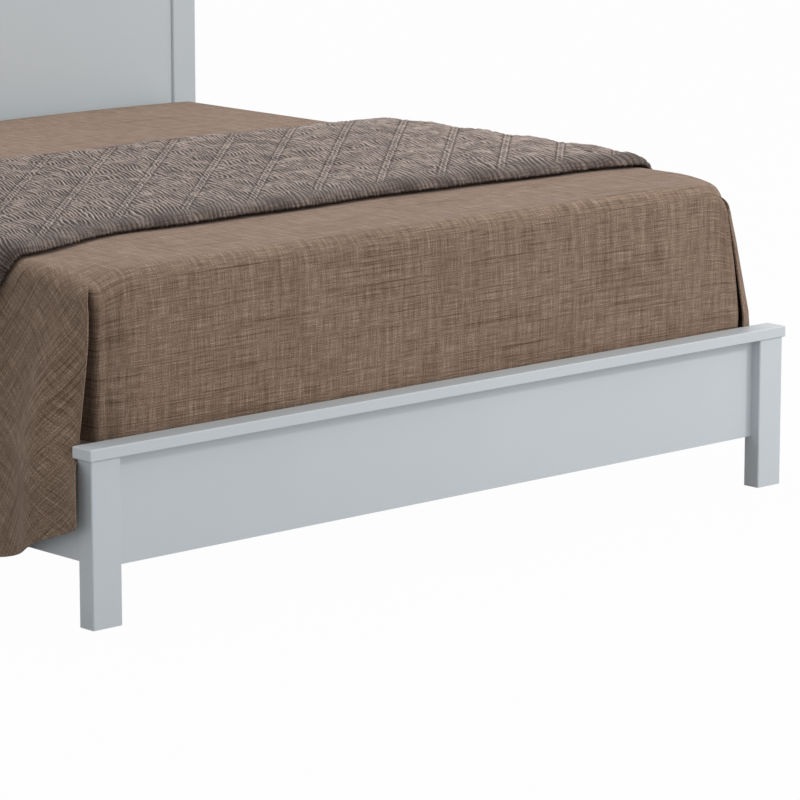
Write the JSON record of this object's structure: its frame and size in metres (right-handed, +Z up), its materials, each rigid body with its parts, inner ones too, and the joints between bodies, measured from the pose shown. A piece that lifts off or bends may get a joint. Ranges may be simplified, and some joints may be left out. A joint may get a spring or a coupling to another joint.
{
  "type": "storage platform bed",
  "caption": "King-size platform bed with low capped footboard, plain headboard, slatted deck, side storage drawers, mattress, coverlet and ruched blanket.",
  "frame": {"origin": "on the floor, at the middle of the bed's outline", "axes": "+X to the bed's right as seen from the foot, +Y from the foot to the head, +Z up"},
  "size_m": [2.13, 2.164, 1.15],
  "materials": {
    "painted_wood": "satin paint, cool white",
    "bare_wood": "planed pine, unvarnished",
    "plywood": "thin birch plywood",
    "steel": "zinc plated",
    "pad_plastic": "matte",
    "mattress": "quilted knit ticking",
    "coverlet": "slubbed linen weave",
    "blanket": "ruched, slight sheen"
  },
  "bodies": {
    "bed_frame": {"beam_hangers": "steel", "blanket": "blanket", "cap_dowels": "bare_wood", "centre_beam": "bare_wood", "centre_leg_1": "bare_wood", "centre_leg_2": "bare_wood", "centre_leg_3": "bare_wood", "centre_leg_pads": "pad_plastic", "corner_bolts": "steel", "corner_brackets": "steel", "coverlet": "coverlet", "coverlet_drop_left": "coverlet", "coverlet_drop_right": "coverlet", "footboard_cap": "painted_wood", "footboard_cleat": "bare_wood", "footboard_leg_left": "painted_wood", "footboard_leg_right": "painted_wood", "footboard_panel": "painted_wood", "headboard_cap": "painted_wood", "headboard_lower_rail": "painted_wood", "headboard_panel": "painted_wood", "headboard_post_left": "painted_wood", "headboard_post_right": "painted_wood", "ledger_left": "bare_wood", "ledger_right": "bare_wood", "mattress": "mattress", "partition_foot_left": "bare_wood", "partition_foot_right": "bare_wood", "partition_head_left": "bare_wood", "partition_head_right": "bare_wood", "rail_left": "painted_wood", "rail_right": "painted_wood", "runner_channels_left": "steel", "runner_channels_right": "steel", "slats": "bare_wood", "stile_foot_left": "painted_wood", "stile_foot_right": "painted_wood", "stile_head_left": "painted_wood", "stile_head_right": "painted_wood"},
    "drawer_left": {"drawer_back_left": "bare_wood", "drawer_bottom_left": "plywood", "drawer_front_left": "painted_wood", "drawer_side_foot_left": "bare_wood", "drawer_side_head_left": "bare_wood", "drawer_slides_left": "steel"},
    "drawer_right": {"drawer_back_right": "bare_wood", "drawer_bottom_right": "plywood", "drawer_front_right": "painted_wood", "drawer_side_foot_right": "bare_wood", "drawer_side_head_right": "bare_wood", "drawer_slides_right": "steel"}
  },
  "joints": [
    {"name": "drawer_slide_left", "type": "slide", "parent": "bed_frame", "child": "drawer_left", "axis": [-1, 0, 0], "range_m": [0, 0.45], "deforming": ["coverlet_drop_left"]},
    {"name": "drawer_slide_right", "type": "slide", "parent": "bed_frame", "child": "drawer_right", "axis": [1, 0, 0], "range_m": [0, 0.45], "deforming": ["coverlet_drop_right"]}
  ]
}
